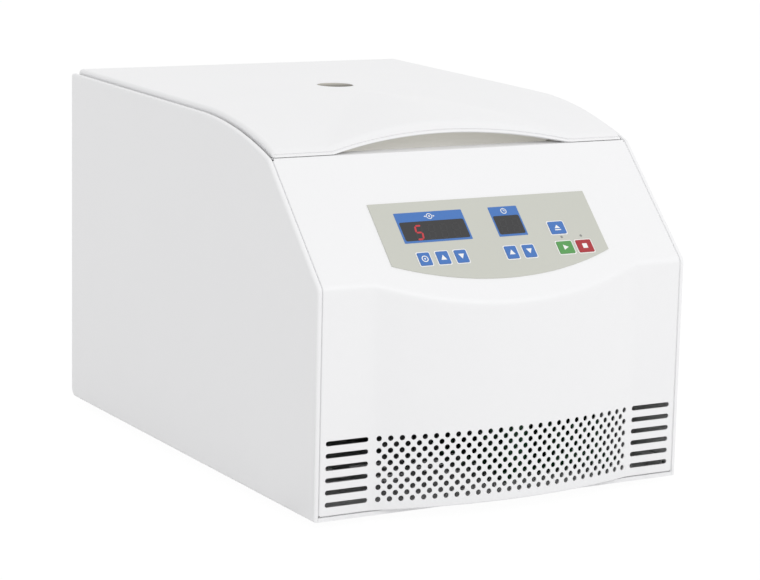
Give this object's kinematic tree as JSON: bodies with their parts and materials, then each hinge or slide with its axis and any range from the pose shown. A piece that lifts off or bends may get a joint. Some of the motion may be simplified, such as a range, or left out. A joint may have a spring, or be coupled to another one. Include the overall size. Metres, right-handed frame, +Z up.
{
  "type": "microplate centrifuge",
  "caption": "Bench microplate centrifuge with a sloping control face, a bowed perforated front, and a hinged lid with a sight glass over a round chamber holding a swing-out rotor.",
  "frame": {"origin": "centre of the footprint's bounding box, at the underside of the rubber feet", "axes": "+X to the right seen from the front, +Y from the front to the back, +Z up"},
  "size_m": [0.38, 0.5512, 0.3436],
  "materials": {
    "cabinet_white": "fine white powder coat",
    "lid_white": "smooth moulded white",
    "liner_grey": "moulded light grey",
    "deck_grey": "light grey powder coat",
    "foot_rubber": "matt black",
    "seal_rubber": "matt dark grey",
    "overlay_grey": "printed light grey film",
    "window_smoke": "dark red-tinted window",
    "display_black": "digit block",
    "board_green": "green circuit board",
    "switch_black": "matt black",
    "standoff_brass": "turned",
    "lamp_grey": "unlit lamp",
    "key_blue": "printed blue key",
    "key_green": "printed green key",
    "key_red": "printed red key",
    "bowl_steel": "brushed stainless",
    "guard_steel": "plain rolled steel",
    "motor_grey": "dark grey enamel",
    "shaft_steel": "ground steel",
    "rotor_alloy": "anodised",
    "hinge_steel": "grey zinc coat",
    "solenoid_black": "moulded coil",
    "inlet_black": "moulded black",
    "rocker_black": "polished black",
    "screw_steel": "plain steel",
    "sight_glass": "clear"
  },
  "bodies": {
    "housing": {"base_tray": "cabinet_white", "foot_front_left": "foot_rubber", "foot_front_right": "foot_rubber", "foot_rear_left": "foot_rubber", "foot_rear_right": "foot_rubber", "left_side_panel": "cabinet_white", "right_side_panel": "cabinet_white", "front_panel": "cabinet_white", "rear_panel": "cabinet_white", "top_deck": "deck_grey", "deck_rails": "deck_grey", "grip_trough": "liner_grey", "control_overlay": "overlay_grey", "display_windows": "window_smoke", "speed_display": "display_black", "time_display": "display_black", "control_board": "board_green", "key_switches": "switch_black", "board_standoffs": "standoff_brass", "start_lamp": "lamp_grey", "stop_lamp": "lamp_grey", "chamber_bowl": "bowl_steel", "chamber_seal": "seal_rubber", "guard_ring": "guard_steel", "motor_base": "guard_steel", "motor_isolators": "foot_rubber", "motor_housing": "motor_grey", "shaft_gaiter": "foot_rubber", "hinge_brackets": "hinge_steel", "hinge_pins": "shaft_steel", "latch_brackets": "hinge_steel", "latch_solenoid": "solenoid_black", "drive_board": "board_green", "power_inlet": "inlet_black", "switch_frame": "inlet_black", "fan_frame": "inlet_black", "housing_screws": "screw_steel"},
    "lid": {"lid_shell": "lid_white", "lid_liner": "liner_grey", "sight_tube": "inlet_black", "sight_glass": "sight_glass", "hinge_arms": "hinge_steel", "lid_strikers": "shaft_steel"},
    "rotor": {"motor_shaft": "shaft_steel", "rotor_yoke": "rotor_alloy", "rotor_nut": "rotor_alloy", "carrier_pins": "shaft_steel"},
    "left_carrier": {"left_carrier": "rotor_alloy"},
    "right_carrier": {"right_carrier": "rotor_alloy"},
    "latch": {"latch_bar": "shaft_steel"},
    "rocker": {"rocker_switch": "rocker_black"},
    "fan": {"fan_wheel": "inlet_black"},
    "mode_key": {"mode_key": "key_blue"},
    "speed_up_key": {"speed_up_key": "key_blue"},
    "speed_down_key": {"speed_down_key": "key_blue"},
    "time_up_key": {"time_up_key": "key_blue"},
    "time_down_key": {"time_down_key": "key_blue"},
    "open_key": {"open_key": "key_blue"},
    "start_key": {"start_key": "key_green"},
    "stop_key": {"stop_key": "key_red"}
  },
  "joints": [
    {"name": "lid_hinge", "type": "hinge", "parent": "housing", "child": "lid", "pos_m": [0, 0.2546, 0.307], "axis": [-1, 0, 0], "range_deg": [0, 75]},
    {"name": "rotor_spin", "type": "hinge", "parent": "housing", "child": "rotor", "pos_m": [0, 0.0686, 0.123], "axis": [0, 0, 1], "continuous": true},
    {"name": "left_carrier_swing", "type": "hinge", "parent": "rotor", "child": "left_carrier", "pos_m": [-0.074, 0.0686, 0.212], "axis": [0, 1, 0], "range_deg": [0, 90]},
    {"name": "right_carrier_swing", "type": "hinge", "parent": "rotor", "child": "right_carrier", "pos_m": [0.074, 0.0686, 0.212], "axis": [0, -1, 0], "range_deg": [0, 90]},
    {"name": "latch_swing", "type": "hinge", "parent": "housing", "child": "latch", "pos_m": [0, -0.1154, 0.237], "axis": [-1, 0, 0], "range_deg": [0, 40]},
    {"name": "rocker_tilt", "type": "hinge", "parent": "housing", "child": "rocker", "pos_m": [-0.15, 0.2646, 0.059], "axis": [-1, 0, 0], "range_deg": [0, 15]},
    {"name": "fan_spin", "type": "hinge", "parent": "housing", "child": "fan", "pos_m": [0.105, 0.2461, 0.067], "axis": [0, 1, 0], "continuous": true},
    {"name": "mode_key_press", "type": "slide", "parent": "housing", "child": "mode_key", "axis": [0, 0.7144, -0.6998], "range_m": [0, 0.0006], "stiffness_N_per_m": 3000},
    {"name": "speed_up_key_press", "type": "slide", "parent": "housing", "child": "speed_up_key", "axis": [0, 0.7144, -0.6998], "range_m": [0, 0.0006], "stiffness_N_per_m": 3000},
    {"name": "speed_down_key_press", "type": "slide", "parent": "housing", "child": "speed_down_key", "axis": [0, 0.7144, -0.6998], "range_m": [0, 0.0006], "stiffness_N_per_m": 3000},
    {"name": "time_up_key_press", "type": "slide", "parent": "housing", "child": "time_up_key", "axis": [0, 0.7144, -0.6998], "range_m": [0, 0.0006], "stiffness_N_per_m": 3000},
    {"name": "time_down_key_press", "type": "slide", "parent": "housing", "child": "time_down_key", "axis": [0, 0.7144, -0.6998], "range_m": [0, 0.0006], "stiffness_N_per_m": 3000},
    {"name": "open_key_press", "type": "slide", "parent": "housing", "child": "open_key", "axis": [0, 0.7144, -0.6998], "range_m": [0, 0.0006], "stiffness_N_per_m": 3000},
    {"name": "start_key_press", "type": "slide", "parent": "housing", "child": "start_key", "axis": [0, 0.7144, -0.6998], "range_m": [0, 0.0006], "stiffness_N_per_m": 3000},
    {"name": "stop_key_press", "type": "slide", "parent": "housing", "child": "stop_key", "axis": [0, 0.7144, -0.6998], "range_m": [0, 0.0006], "stiffness_N_per_m": 3000}
  ]
}
